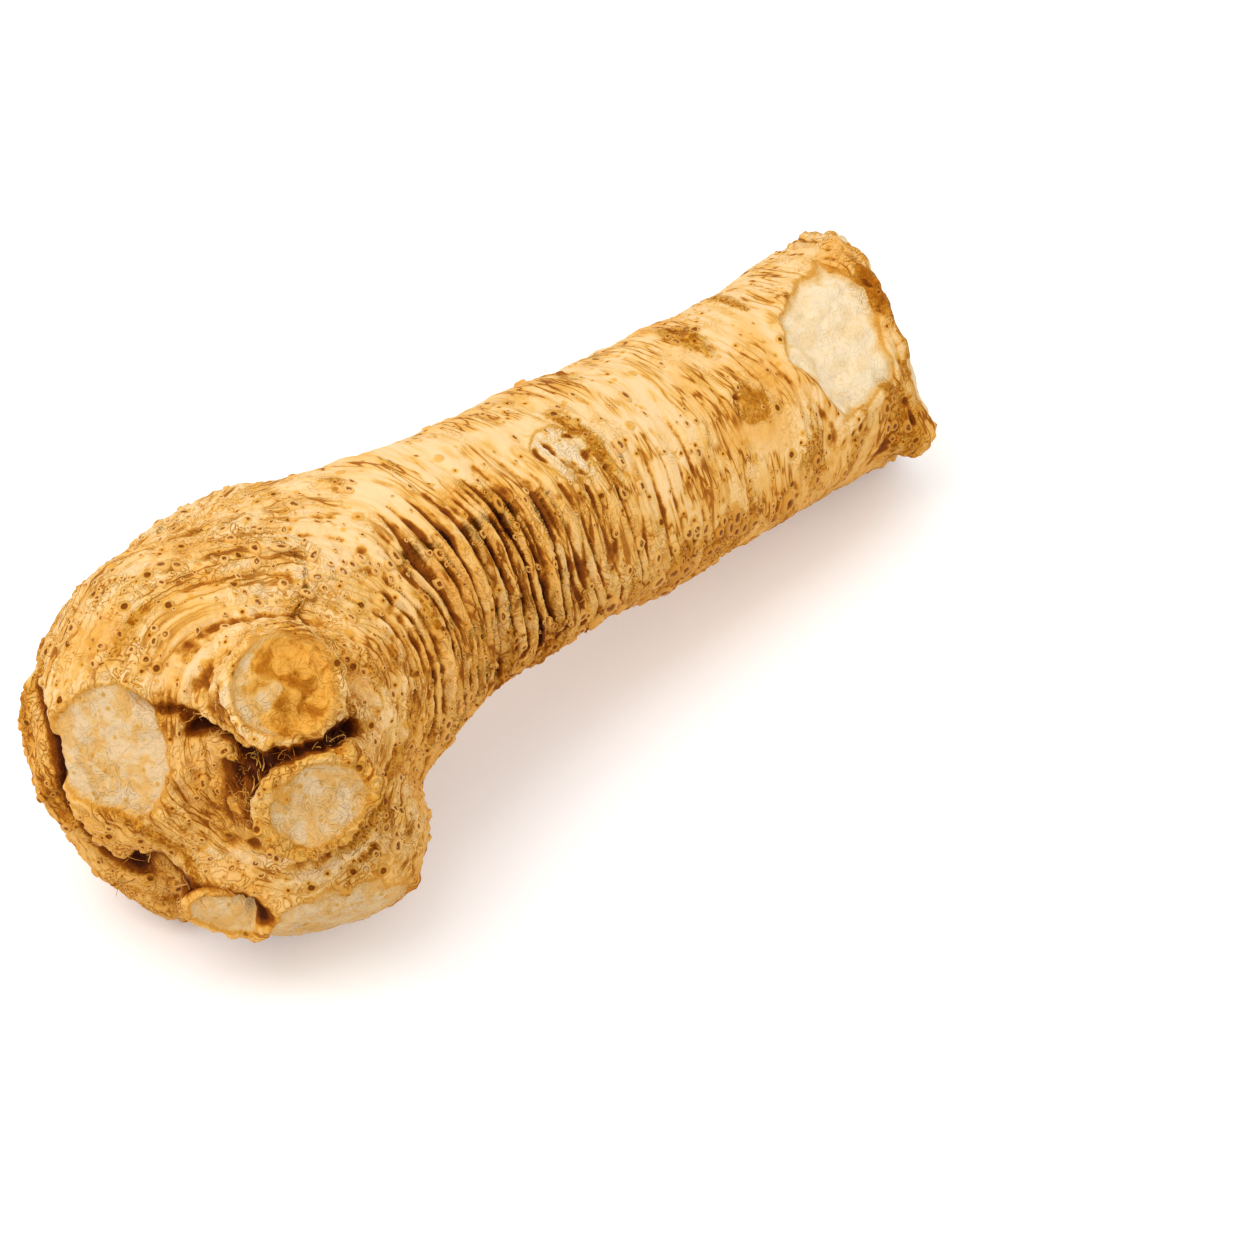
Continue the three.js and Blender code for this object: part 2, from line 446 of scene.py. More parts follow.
cut_mm = {name: (cut["middle"] / MM, cut["facing"], cut["radius"] / MM) for name, cut in cuts.items()}
between_shoots = (cut_mm["upper"][0] + cut_mm["middle"][0]) / 2
from_shoots = np.linalg.norm(base - between_shoots, axis=-1)
on_shaft = smooth_step(-62, -22, X)
TO_MATCH = 97  # mm added along the shaft, so that both distances agree where they meet
# Every wrinkle wanders by a few millimetres, so that none runs true.
wobble = noise(base / 24, 5) * 2.6 + noise(base / 9, 6) * 0.5
growth = mix(from_shoots, X + TO_MATCH, on_shaft) + wobble
print(f"growth runs from {growth.min():.0f} to {growth.max():.0f} mm")


def across_growth(step, reach, salt=0):
    """Places for noise that is one step wide along the growth and one reach long across it, in mm."""
    return np.stack([growth / step, Y / reach + salt * 3.1, Z / reach - salt * 1.7], axis=-1)


# %% [markdown]
# ## The edges of the cuts
#
# The knife laid the pale flesh bare on each trimmed shoot and where the bark was peeled off the tail. The
# skin is stored with a distance to the nearest such edge: below 0 on flesh, above 0 on bark. The flesh
# could be a mesh of its own, but then a seam would show. Here the relief and the finish both read that one
# distance, so the step in the skin and the change of colour meet.

# %% Distance to the edge of the flesh
PEELED_CORNERS = np.array(  # the outline of the peeled patch, in mm
    [(64, 1, 49), (82, 6, 49), (84, -3, 47), (79, -15, 35), (63, -17, 34.5), (57, -8, 46.5)], float
)


def plane_axes(facing):
    """Two directions across a plane, the first as near to +X as it gets."""
    first = np.array([1.0, 0, 0]) if abs(facing[0]) < 0.85 else np.array([0, 1.0, 0])
    first = unit(first - facing * (first @ facing))
    return first, np.cross(facing, first)


def cut_outline(middle, facing, count=48):
    """How far a flat face of the plain form reaches from its middle, by the angle round it."""
    corners = form_corners / MM
    normals = unit(np.cross(corners[:, 1] - corners[:, 0], corners[:, 2] - corners[:, 0]) + 1e-15)
    flat = (normals @ facing > 0.999) & (np.abs((corners.mean(axis=1) - middle) @ facing) < 0.2)
    across = corners[flat].reshape(-1, 3) - middle
    first, second = plane_axes(facing)
    turn = np.arctan2(across @ second, across @ first)
    reach = np.hypot(across @ second, across @ first)
    marks = np.linspace(-math.pi, math.pi, count, endpoint=False)
    apart = np.abs((turn[None] - marks[:, None] + math.pi) % (2 * math.pi) - math.pi)
    return marks, np.array([reach[near < math.pi / 12].max(initial=0) for near in apart])


def beside_cut(points, name):
    """How far each point lies outside a cut's outline, seen along the cut's facing, and how far below it."""
    middle, facing, _ = cut_mm[name]
    axes = np.stack(plane_axes(facing), axis=-1)
    depth = -(points - middle) @ facing
    flat = (points - middle) @ axes
    if name == "peeled":
        corners = (PEELED_CORNERS - middle) @ axes
        edges = np.roll(corners, -1, axis=0) - corners
        outward = unit(np.stack([edges[:, 1], -edges[:, 0]], axis=-1))
        outward *= np.sign((outward * (corners - corners.mean(axis=0))).sum(axis=-1))[:, None]
        over = [(flat - corner) @ way for corner, way in zip(corners, outward)]
        return np.maximum.reduce(over), depth
    marks, outline = cut_outline(middle, facing)
    edge = np.interp(np.arctan2(flat[..., 1], flat[..., 0]), marks, outline, period=2 * math.pi)
    return np.hypot(flat[..., 0], flat[..., 1]) - edge, depth


def cut_distance(points, name):
    """How far each point lies outside the edge of a cut, in mm, and below 0 on its face."""
    beside, depth = beside_cut(points, name)
    return np.maximum(beside, depth - 7 if name == "peeled" else np.abs(depth) - 2)


# Bark folds over the rims of two stubs, and leaves flesh bare on the lower lobe's rounded edge.
BARK_OVER = {"middle": 1.2, "lower": -2.2, "small": 1.4}  # mm
to_cut = {name: cut_distance(base, name) + BARK_OVER.get(name, 0) for name in cut_mm}
nearest_cut = np.minimum.reduce(list(to_cut.values()))
ragged = layered(base / 5.5, 4, 61) * 1.4
to_flesh = nearest_cut + 0.8 * ragged
for name, distance in to_cut.items():
    print(f"{name:>7} flesh: {(distance < 0).mean() * 100:.1f}% of the points")

# %% [markdown]
# ## Creases and furrows
#
# Where the crown's lobes press on one another the bark folds in: deep creases between the lobes, and a
# furrow round the foot of each shoot, deepest on the side where two feet meet. A crease could be cut with a
# boolean, but its lips would be sharp. Here it is a line laid on the skin, and each point sinks by a
# bell curve of its distance from that line. The melted form's own seams are filled up first, so that the
# only valleys left are the ones that are drawn.

# %% The lines of the creases
CREASES = [  # a line along the skin in mm, how wide the crease is, and how deep
    ([(-99, -1, 58), (-97, -5, 58), (-95, -8, 57), (-94, -11, 55)], 1.3, 1.8),
    ([(-94, -11, 55), (-94, -17, 55), (-93, -20, 54), (-92, -23, 54), (-92, -25, 55)], 1.7, 3.4),
    ([(-92, -26, 56), (-90, -29, 57), (-87, -31, 58), (-81, -30, 56), (-73, -26, 51)], 1.4, 2.8),
    (
        [(-101, 22, 50), (-104, 17, 48), (-106, 13, 45), (-107, 11, 40), (-107, 10, 34), (-105, 8, 28)]
        + [(-101, 8, 20)],
        1.6,
        3.4,
    ),
    ([(-101, 8, 20), (-99, 3, 18), (-101, -3, 22), (-103, -9, 25), (-103, -14, 27)], 2.4, 3.4),
    ([(-103, -14, 27), (-101, -18, 28), (-99, -21, 28), (-97, -24, 25), (-94, -25, 20)], 2.2, 3.8),
]
FURROWS = [  # the shoot, the side of its foot where the bark folds in, and how deep
    ("upper", (-0.62, 0.1, -0.78), 1.6),
    ("middle", (-0.8, 0.5, -0.2), 3.6),
    ("middle", (0.1, 0.4, -0.9), 1.8),
]
print(len(CREASES), "creases between lobes,", len(FURROWS), "furrows round the feet of shoots")


def laid_on_skin(path, step=1.0):
    """A path with a point every step, each moved to the nearest point of the skin."""
    path = np.array(path, float)
    lengths = np.concatenate([[0], np.cumsum(np.linalg.norm(np.diff(path, axis=0), axis=1))])
    marks = np.arange(0, lengths[-1], step)
    even = np.stack([np.interp(marks, lengths, path[:, k]) for k in range(3)], axis=1)
    points = base.reshape(-1, 3)
    return points[np.linalg.norm(points[None] - even[:, None], axis=-1).argmin(axis=1)]


def path_distance(points, path):
    """How far each point lies from the nearest of the path's points."""
    nearest = np.full(points.shape[:-1], np.inf)
    for spot in path:
        nearest = np.minimum(nearest, np.linalg.norm(points - spot, axis=-1))
    return nearest


def furrow(name, toward, depth, gap=1.8, width=1.2):
    """A groove round the foot of a shoot, deepest on the side that lies in a direction."""
    beside, below = beside_cut(wandering, name)
    side = unit(base - cut_mm[name][0]) @ unit(np.array(toward))
    at_foot = smooth_step(1.0, 3.0, below) * smooth_step(20, 14, below)
    return depth * gaussian(beside, gap, width) * smooth_step(0.1, 0.65, side) * at_foot


# %% Carve the creases and fill the other valleys
MOST_FILLED = 4  # mm
wandering = base + 0.8 * np.stack([noise(base / 5, salt) for salt in (51, 52, 53)], axis=-1)
carved = np.zeros(base.shape[:2])
for path, width, depth in CREASES:
    carved = np.maximum(carved, depth * gaussian(path_distance(wandering, laid_on_skin(path)), 0, width))
for name, toward, depth in FURROWS:
    carved = np.maximum(carved, furrow(name, toward, depth))
valley = np.clip(((blurred(base, 130) - base) * facing).sum(axis=-1), 0, MOST_FILLED)
filled = mix(0.55, 0.85, 1 - smooth_step(-75, -50, X)) * valley
filled *= smooth_step(0, 2, nearest_cut) * smooth_step(1.5, 0.3, carved)
print(f"valleys filled by up to {filled.max():.1f} mm, creases carved down to {carved.max():.1f} mm")

# %% [markdown]
# ## Zones of the skin
#
# Each part of the root has its own skin: warty on the crown, grooved on the neck behind it, torn at the
# tail, smooth and pale where it was scrubbed. A zone is a number from 0 to 1 at every point, and fades at
# its edge. Zones could be painted on by hand, but here each one is a formula on the place, with X running
# from -107 mm at the crown to 107 mm at the tail. The relief and the finish both multiply by the same
# zones, so they change together.

# %% Crown, neck, tail, pale spots and scars
PALE_SPOTS = [  # middle and reach in mm of places that were scrubbed clean
    (-85, -6, 65, 12),
    (-55, -10, 65, 13),
    (-24, 8, 62, 12),
    (-8, -1, 58, 11),
    (-38, 0, 62, 10),
    (24, 0, 54, 12),
    (13, -15, 45, 9),
    (60, -5, 48, 9),
]
SCARS = [(0, -5, 56, 6), (43, -11, 46, 4.5), (87, -4, 45, 6)]  # middle and reach in mm, the pale one first

bark = smooth_step(-0.6, 1.2, to_flesh)
crown = 1 - smooth_step(-60, -35, X)
tail = smooth_step(76, 90, X)
on_tail = smooth_step(40, 50, X)
toward_front = smooth_step(0.1, 0.85, -facing[..., 1])
neck = gaussian(X, -32, 20) * toward_front
neck_foot = gaussian(X, -10, 30) * toward_front
lower_front = gaussian(Z, 26, 8) * smooth_step(0.5, 0.95, -facing[..., 1]) * gaussian(X, 15, 50)

scar_edge = 0.25 * noise(base / 3, 58)
near_scar = [np.linalg.norm(base - scar[:3], axis=-1) / scar[3] + scar_edge for scar in SCARS]
nearest_scar = np.minimum.reduce(near_scar)
scarred = smooth_step(1.15, 0.8, nearest_scar)
spot_edge = 5 * noise(base / 9, 59)
washed = np.zeros(base.shape[:2])
for *spot, reach in PALE_SPOTS:
    away = np.linalg.norm((base - spot) * (1.3, 1, 1), axis=-1) + spot_edge
    washed = np.maximum(washed, smooth_step(1.2 * reach, 0.5 * reach, away))

collar_beside, collar_depth = beside_cut(base, "middle")  # the thick bark round the middle shoot
collar = gaussian(collar_beside, 0.4, 2.2) * smooth_step(8, 2, np.abs(collar_depth))
bands = layered(across_growth(8, 24, 5), 4, 31) + 0.42 * tail - 0.5 * washed + 0.35 * lower_front
bands = np.maximum(smooth_step(0.2, 0.7, bands), 0.6 * collar)
for name, zone in {"neck": neck, "pale spots": washed, "scars": scarred, "brown bands": bands}.items():
    print(f"{name}: {(zone > 0.5).mean() * 100:.1f}% of the points")

# %% [markdown]
# ## The relief
#
# All the relief is one number for each point: how many millimetres it stands out from the melted form.
# Sculpting would give it too, but could not be repeated or measured. It is a sum of layers. Folds come
# first, then the grooves of the neck, then warty lumps, and last the step down to bare flesh.

# %% Folds and grooves, on bark
coarse_folds = folds(across_growth(8.0, 34, 1), 11)
middle_folds = folds(across_growth(3.4, 30, 2), 12)
fine_folds = folds(across_growth(2.1, 15, 3), 13)
fibres = folds(across_growth(1.4, 20, 8), 79)
groove_lines = gaussian(folds(across_growth(3.3, 50, 4), 14), 0, 0.26)
thin_lines = gaussian(folds(across_growth(2.0, 36, 6), 17), 0, 0.3)
fold_strength = 0.6 + 0.8 * noise(base / 14, 15)
groove_here = smooth_step(-0.6, 0.0, noise(base / 12, 63))

relief = layered(base / 18, 2, 21)
relief += mix(0.3, 0.9, crown) * (coarse_folds - 0.5)
relief += (0.25 + 0.9 * neck + 0.35 * crown + 0.9 * tail) * fold_strength * (middle_folds - 0.6)
relief += (0.15 + 0.35 * neck + 0.2 * crown + 0.3 * tail) * (fine_folds - 0.6)
relief += 0.3 * neck * smooth_step(0.3, 0.6, fibres)
relief -= (0.2 + 1.9 * neck + 0.7 * neck_foot + 0.12 * crown) * groove_lines * groove_here
relief -= (0.9 * neck + 0.35 * neck_foot + 0.1 * crown) * thin_lines
print(f"the folds and grooves run from {relief.min():.1f} to {relief.max():.1f} mm")

# %% Lumps, scars and the torn tail, on bark
lumps = layered(base / 2.6, 2, 41)
relief += bands * (0.2 + 0.5 * lumps) + crown * 0.42 * lumps
relief += (0.08 + 0.22 * bands + 0.24 * crown) * layered(base / 1.5, 2, 42)
relief += scarred * (0.5 * lumps - 0.3) + 0.35 * gaussian(nearest_scar, 1.1, 0.15)
relief += tail * (1.5 * layered(base / 6, 3, 62) + 0.5 * layered(base / 2.2, 2, 64))
relief *= bark
print(f"the bark's relief runs from {relief.min():.1f} to {relief.max():.1f} mm")

# %% The step down to the flesh, and the flesh itself
BARK_THICKNESS = 0.9  # mm
peeled_lip = gaussian(to_cut["peeled"], 1.6, 1.2) * smooth_step(-6, -12, Y) * smooth_step(78, 66, X)
relief += 0.5 * gaussian(to_flesh, 1.4, 1.1) + 0.9 * peeled_lip
relief -= mix(BARK_THICKNESS, 0, smooth_step(-0.5, 0.3, to_flesh))
flesh_lumps = 0.5 * layered(base / 4.5, 3, 71) + 0.22 * layered(base / 1.4, 2, 75) * (1 - on_tail)
relief += (1 - bark) * flesh_lumps
knife_facets = np.abs(noise(base / (9, 5, 9), 73)) * on_tail
relief += (1 - bark) * knife_facets * 1.2

# The upper shoot's core dried, went golden and sank. It lies off the middle of the cut.
GOLDEN_AWAY = unit(np.array([-0.68, 0.68, -0.1]))
golden_side = smooth_step(0.0, 0.8, unit(base - cut_mm["upper"][0]) @ GOLDEN_AWAY)
golden_edge = to_cut["upper"] + 2.2 * golden_side
relief -= smooth_step(0, -2.5, golden_edge) * (1.3 + 1.5 * layered(base / 3.2, 3, 72))
relief += collar * (0.8 + 0.9 * layered(base / 4, 3, 74))

to_lower = np.linalg.norm(base - cut_mm["lower"][0], axis=-1)
relief += filled - carved + 2.2 * smooth_step(20, 9, to_lower)
print(f"relief from {relief.min():.1f} to {relief.max():.1f} mm")

shaped = base + facing * relief[..., None]
shaped[..., 2] = np.maximum(shaped[..., 2], 0)  # the table stops it
shaped[0] = shaped[0].mean(axis=0)
shaped[-1] = shaped[-1].mean(axis=0)

# %% [markdown]
# ## Closed meshes
#
# The rows become quads. The first and the last row have shrunk to a point, so each is closed with a fan of
# triangles. The skin is two meshes of just under 200,000 triangles each. Two meshes keep each one small
# enough to export whole. They share one row, and past it each one dives under the other's skin and closes
# there. Both get the normals of the whole skin, so that no seam shows between them.

# %% Helpers that make a piece


def quads_between(index):
    """The quads between rows of point numbers, where each row closes on itself."""
    beside = np.roll(index, -1, axis=1)
    return np.stack([index[:-1], beside[:-1], beside[1:], index[1:]], axis=-1).reshape(-1, 4)


def fans(index, first, last):
    """The triangles from a first point to the first row, and from the last row to a last point."""
    beside = np.roll(index, -1, axis=1)
    start = np.stack([np.full_like(index[0], first), beside[0], index[0]], axis=-1)
    end = np.stack([np.full_like(index[0], last), index[-1], beside[-1]], axis=-1)
    return start, end


def new_piece(name, points, *faces):
    """A smooth piece from points in mm and arrays of point numbers, one array for each kind of face."""
    mesh = bpy.data.meshes.new(name)
    mesh.from_pydata(points.reshape(-1, 3) * MM, [], sum((kind.tolist() for kind in faces), []))
    mesh.polygons.foreach_set("use_smooth", np.ones(len(mesh.polygons), bool))
    piece = bpy.data.objects.new(name, mesh)
    bpy.context.scene.collection.objects.link(piece)
    return piece


def flat_points(field):
    """A grid's values in the order of the mesh's points: the first pole, the rows between, the last pole."""
    inner = field[1:-1].reshape(-1, *field.shape[2:])
    return np.concatenate([field[:1].mean(axis=1), inner, field[-1:].mean(axis=1)])


def closed_grid(name, points):
    """A piece from a grid whose rows close on themselves and whose first and last rows are single points."""
    rows, columns = points.shape[:2]
    index = 1 + np.arange((rows - 2) * columns).reshape(rows - 2, columns)
    return new_piece(name, flat_points(points), quads_between(index), *fans(index, 0, index[-1, -1] + 1))


def store(piece, name, values):
    """Keep numbers, or arrows of three numbers, on a mesh's points for its finish to read."""
    arrows = values.ndim == 2
    kind = "FLOAT_VECTOR" if arrows else "FLOAT"
    attribute = piece.data.attributes.new(name, kind, "POINT")
    attribute.data.foreach_set("vector" if arrows else "value", values.astype(np.float32).ravel())


def report_closed(piece):
    """Print a mesh's volume, which is below 0 if it is inside out, and how many edges are open."""
    shape = bmesh.new()
    shape.from_mesh(piece.data)
    open_edges = sum(not edge.is_manifold for edge in shape.edges)
    volume = shape.calc_volume(signed=True) / MM**3 / 1000
    triangles = sum(len(face.verts) - 2 for face in shape.faces)
    print(f"{piece.name}: {triangles} triangles, {volume:.2f} cubic cm, {open_edges} open edges")
    shape.free()


# %% Make the root's two meshes
DIVE = np.array([0.15, 0.8, 2.5])[:, None, None]  # mm under the skin on the rows past the shared one
HIDDEN = len(DIVE)
split = ROWS // 2
skin_facing = facing_of(shaped)
past_crown = slice(split + 1, split + 1 + HIDDEN)
past_shaft = slice(split - HIDDEN, split)
crown_end_rows = shaped[past_crown] - DIVE * skin_facing[past_crown]
shaft_start_rows = shaped[past_shaft] - DIVE[::-1] * skin_facing[past_shaft]
middle_row = shaped[split : split + 1].mean(axis=1, keepdims=True)


def crown_part(field, dive=None, middle=None):
    """The rows of the crown's mesh: from the pole to the split, then its hidden end."""
    hidden = field[past_crown] if dive is None else dive
    last = hidden[-1:] if middle is None else np.broadcast_to(middle, hidden[-1:].shape)
    return np.concatenate([field[: split + 1], hidden, last])


def shaft_part(field, dive=None, middle=None):
    """The rows of the shaft's mesh: its hidden start, then from the split to the pole."""
    hidden = field[past_shaft] if dive is None else dive
    first = hidden[:1] if middle is None else np.broadcast_to(middle, hidden[:1].shape)
    return np.concatenate([first, hidden, field[split:]])


along_step = np.gradient(shaped, axis=0)
round_step = np.roll(shaped, -1, axis=1) - np.roll(shaped, 1, axis=1)
true_facing = np.cross(round_step, along_step)
true_facing *= np.sign((true_facing * skin_facing).sum(axis=-1, keepdims=True) + 1e-15)
true_facing = unit(unit(true_facing) + 1e-3 * skin_facing)
root_crown = closed_grid("root_crown", crown_part(shaped, crown_end_rows, middle_row))
root_shaft = closed_grid("root_shaft", shaft_part(shaped, shaft_start_rows, middle_row))
print(f"the meshes meet near x = {middle_row[0, 0, 0]:.0f} mm")
for piece, part in ((root_crown, crown_part), (root_shaft, shaft_part)):
    piece.data.normals_split_custom_set_from_vertices(flat_points(part(true_facing)).reshape(-1, 3))
    report_closed(piece)
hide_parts("root")
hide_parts("root")
for piece in (root_crown, root_shaft):
    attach(piece, "root")

# %% [markdown]
# ## Numbers for the finish
#
# The finish has to know where it is: how deep in a hollow, how near a cut, in which zone. Texture maps
# could tell it, but would have to be painted and unwrapped. Here the numbers that shaped the skin are
# stored on the same points as attributes. They follow the skin wherever it goes, which a pattern in space
# can't do.

# %% How deep each point lies
small_hollow = ((blurred(shaped, 14) - shaped) * skin_facing).sum(axis=-1)
wide_hollow = ((blurred(shaped, 90) - shaped) * skin_facing).sum(axis=-1)
# How deep each point lies, with the creases: the number for the soil and the painted shade in the hollows.
hollow = small_hollow * (1.6 - 0.9 * crown) + (0.2 - 0.14 * neck) * wide_hollow * (1 - crown) + 0.32 * carved
hollow *= 1 - 0.5 * np.clip(neck + 0.5 * neck_foot, 0, 1) * smooth_step(0.22, 0.5, fibres)
# Darker along the shaft's lower front edge: painted shade.
hollow += lower_front * (0.1 + 0.5 * layered(base / 2.5, 3, 80))
neck_edge = 4 * neck * (1 - neck) * smooth_step(20, 40, Z)  # painted shade at the upper ends of the grooves
hollow += neck_edge * (0.22 + 0.3 * layered(base / 3, 3, 82))
print(f"hollows are up to {small_hollow.max():.1f} mm deep, bumps up to {-small_hollow.min():.1f} mm high")

# %% Store the numbers
rough = 0.2 + bands + 0.3 * crown + 0.45 * crown * smooth_step(-0.3, 0.4, noise(base / 11, 77)) + scarred
rough = np.clip(rough + 0.5 * neck_foot + 0.5 * tail - 0.5 * washed, 0, 1)
pale_scar_is_nearer = near_scar[0] < near_scar[1]
numbers = {
    "growth": np.concatenate([growth[..., None], base[..., 1:]], axis=-1),
    "to_flesh": to_flesh,
    "to_golden": golden_edge + 0.8 * ragged,
    "hollow": blurred(hollow, 1),
    "cords": np.clip(1.2 * neck + 0.5 * neck_foot + 0.12 + 0.1 * crown, 0, 1) * (1 - tail),
    "pitted": np.clip(0.15 + 0.75 * bands + 0.5 * crown + lower_front + 0.3 * tail - 0.4 * washed, 0, 1),
    "ring": (1 - bark) * gaussian(to_flesh, -4.4, 0.7) * mix(0.25, 1, tail) * (to_cut["peeled"] > 1),
    "pale_scar": np.where(pale_scar_is_nearer, scarred, 0),
    "brown_scar": np.where(pale_scar_is_nearer, 0, scarred),
    "bands": bands,
    "crease_zone": smooth_step(-0.2, 0.35, layered(base / 9, 2, 84)),
    "curl_zone": smooth_step(-0.3, 0.3, layered(base / 5, 2, 85)) * rough,
    "fresh": smooth_step(0, 20, X),
    "rough": rough,
    "washed": washed,
    # how far the skin faces down, for the painted warm shade underneath
    "low": smooth_step(0.5, -0.6, facing[..., 2]),
}
WART_NUMBERS = ("growth", "washed", "low", "bands", "cords")
for name, field in numbers.items():
    store(root_crown, name, flat_points(crown_part(field)))
    store(root_shaft, name, flat_points(shaft_part(field)))
print("stored on every point:", ", ".join(numbers))

# %% [markdown]
# ## Warts
#
# Where a fine rootlet broke off, the bark keeps a ring: a raised lip round a small pit, often pulled long
# by the wrinkles. Hundreds of them are set into the skin, thickest in the brown bands and along the shaft's
# lower edge. Instancing one wart would be lighter, but then all would have the same dents. So one
# profile is turned round at every place at once, each time with its own size, stretch and dents.

# %% Scatter places on the skin


def scattered(density, count, apart, salt):
    """Indices of skin points drawn with a density, where none lies nearer than it may to one before it."""
    pick = np.random.default_rng(salt)
    step_a = np.linalg.norm(along_step, axis=-1)
    step_b = np.linalg.norm(np.roll(shaped, -1, axis=1) - shaped, axis=-1)
    chance = (density * step_a * step_b)[2:-2].ravel()
    chosen = pick.choice(len(chance), count, replace=False, p=chance / chance.sum()) + 2 * COLUMNS
    points = shaped.reshape(-1, 3)[chosen]
    gaps = np.linalg.norm(points[:, None] - points[None], axis=-1)
    crowded = np.tril(gaps < apart, -1).any(axis=1)
    return chosen[~crowded]


run_round = unit(np.cross(skin_facing, along_step) + 1e-12)
run_along = np.cross(run_round, skin_facing)


def at(field, places):
    """A grid's values at the chosen places."""
    return field.reshape(-1, *field.shape[2:])[places]


on_bark = smooth_step(1.5, 4.5, to_flesh) * (shaped[..., 2] > 2)
wart_density = 0.12 + 0.6 * bands + 0.7 * lower_front + 0.5 * crown
wart_density = wart_density * on_bark * smooth_step(0.5, 0.1, small_hollow) * smooth_step(0.8, 0.2, carved)
wart_places = scattered(wart_density, 2600, 1.3, 81)
print(len(wart_places), "places for warts")

# %% Turn the warts
WART_REACH = np.array([0.0, 1.25, 1.1, 0.85, 0.55, 0.3, 0.0])  # from under the skin, over the lip, to the pit
WART_HEIGHT = np.array([-0.7, -0.45, 0.05, 0.52, 0.48, 0.0, -0.15])
WART_SIDES = 8


def set_in(name, places, size, stretch, reach, heights, sides, salt):
    """Copies of one turned profile, each standing on the skin at its place.

    A point of a copy lies at its place, plus its reach across the skin along two directions, plus its
    height along the skin's facing. The stretch lengthens it across the growth.
    """
    pick = np.random.default_rng(salt)
    turn = np.linspace(0, 2 * math.pi, sides, endpoint=False)
    count, rings = len(places), len(reach) - 2
    dents = 1 + 0.16 * pick.normal(size=(count, 1, sides)).clip(-1.5, 1.5)
    across = reach[None, 1:-1, None] * dents * size[:, None, None]
    one = (across * np.cos(turn))[..., None] * at(run_along, places)[:, None, None]
    two = (across * np.sin(turn) * stretch[:, None, None])[..., None]
    two = two * at(run_round, places)[:, None, None]
    up, start = at(skin_facing, places), at(shaped, places)
    lift = (heights[None, 1:-1] * size[:, None])[:, :, None, None]
    rims = start[:, None, None] + one + two + lift * up[:, None, None]
    under = start + up * (heights[0] * size)[:, None]
    pit = start + up * (heights[-1] * size)[:, None]
    points = np.concatenate([under[:, None], rims.reshape(count, -1, 3), pit[:, None]], axis=1)
    each = points.shape[1]
    index = 1 + np.arange(rings * sides).reshape(rings, sides)
    shift = each * np.arange(count)[:, None, None]
    start_fan, end_fan = fans(index, 0, each - 1)
    quads = (quads_between(index) + shift).reshape(-1, 4)
    piece = new_piece(name, points, quads, *((fan + shift).reshape(-1, 3) for fan in (start_fan, end_fan)))
    profile = np.linspace(1, 0, len(reach))
    shares = np.concatenate([profile[:1], np.repeat(profile[1:-1], sides), profile[-1:]])
    store(piece, "profile", np.tile(shares, count))
    for number in WART_NUMBERS:
        store(piece, number, np.repeat(at(numbers[number], places), each, axis=0))
    return piece


wart_random = np.random.default_rng(82)
wart_size = 0.3 + 0.6 * wart_random.random(len(wart_places)) ** 3
wart_size *= 1 + 0.9 * at(lower_front, wart_places)
wart_stretch = 1 + 0.8 * wart_random.random(len(wart_places)) ** 1.5
warts = set_in("warts", wart_places, wart_size, wart_stretch, WART_REACH, WART_HEIGHT, WART_SIDES, 83)
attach(warts, "root")
report_closed(warts)

# %% [markdown]
# ## Root hairs
#
# Soil-dark creases keep their dead rootlets: thin, wiry and curled. Blender's hair would look the same
# here, but would not export as a mesh. So each hair is a path that starts in the skin and turns a little
# at every step, with a three-sided tube carried along it that thins to a point.

# %% Grow the hairs


def hairs(name, places, length, thickness, lift, curl, salt, steps=12, sides=3):
    """Curled hairs, all grown at once.

    A hair's direction starts along the skin, tipped up by its lift. At each step it turns about its own
    axis by its curl, and the path is the running sum of its directions.
    """
    pick = np.random.default_rng(salt)
    count = len(places)
    up = at(skin_facing, places)
    heading = pick.uniform(0, 2 * math.pi, count)[:, None]
    flat = np.cos(heading) * at(run_round, places) + np.sin(heading) * at(run_along, places)
    other = np.cross(up, flat)
    drift = np.cumsum(pick.normal(size=(count, steps)), axis=1) * 0.35
    turning = (drift + np.linspace(0, 1, steps)) * curl[:, None]
    rising = lift[:, None] * (1 - np.linspace(0, 1.6, steps)) + 0.35 * np.sin(turning * 1.7)
    way = np.cos(turning)[..., None] * flat[:, None] + np.sin(turning)[..., None] * other[:, None]
    way = unit(way + rising[..., None] * up[:, None])
    start = at(shaped, places) - up * 0.4
    path = start[:, None] + np.cumsum(way * (length[:, None, None] / steps), axis=1)
    first = unit(np.cross(way, up[:, None] + 0.01))
    second = np.cross(way, first)
    turn = np.linspace(0, 2 * math.pi, sides, endpoint=False)
    taper = np.sqrt(1 - np.linspace(0, 0.98, steps)) * 0.5
    ring = np.cos(turn)[:, None] * first[:, :, None] + np.sin(turn)[:, None] * second[:, :, None]
    rims = path[:, :, None] + ring * (thickness[:, None] * taper)[..., None, None]
    index = np.arange(steps * sides).reshape(steps, sides)
    caps = np.stack([index[0], index[-1][::-1]])
    shift = steps * sides * np.arange(count)[:, None, None]
    quads = (quads_between(index) + shift).reshape(-1, 4)
    return new_piece(name, rims, quads, (caps + shift).reshape(-1, sides))


hair_density = 0.003 + 4 * smooth_step(0.8, 2.5, carved) * crown + 0.06 * lower_front + 0.15 * tail * bands
hair_density = hair_density * on_bark * (Z > 16)
hair_places = scattered(hair_density, 620, 0.5, 91)
hair_random = np.random.default_rng(92)
hair_count = len(hair_places)
root_hairs = hairs(
    "root_hairs",
    hair_places,
    length=2.0 + 6 * hair_random.random(hair_count) ** 2,
    thickness=0.16 + 0.2 * hair_random.random(hair_count),
    lift=0.2 + 0.4 * hair_random.random(hair_count),
    curl=hair_random.normal(0, 2.2, hair_count),
    salt=93,
)
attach(root_hairs, "root")
report_closed(root_hairs)
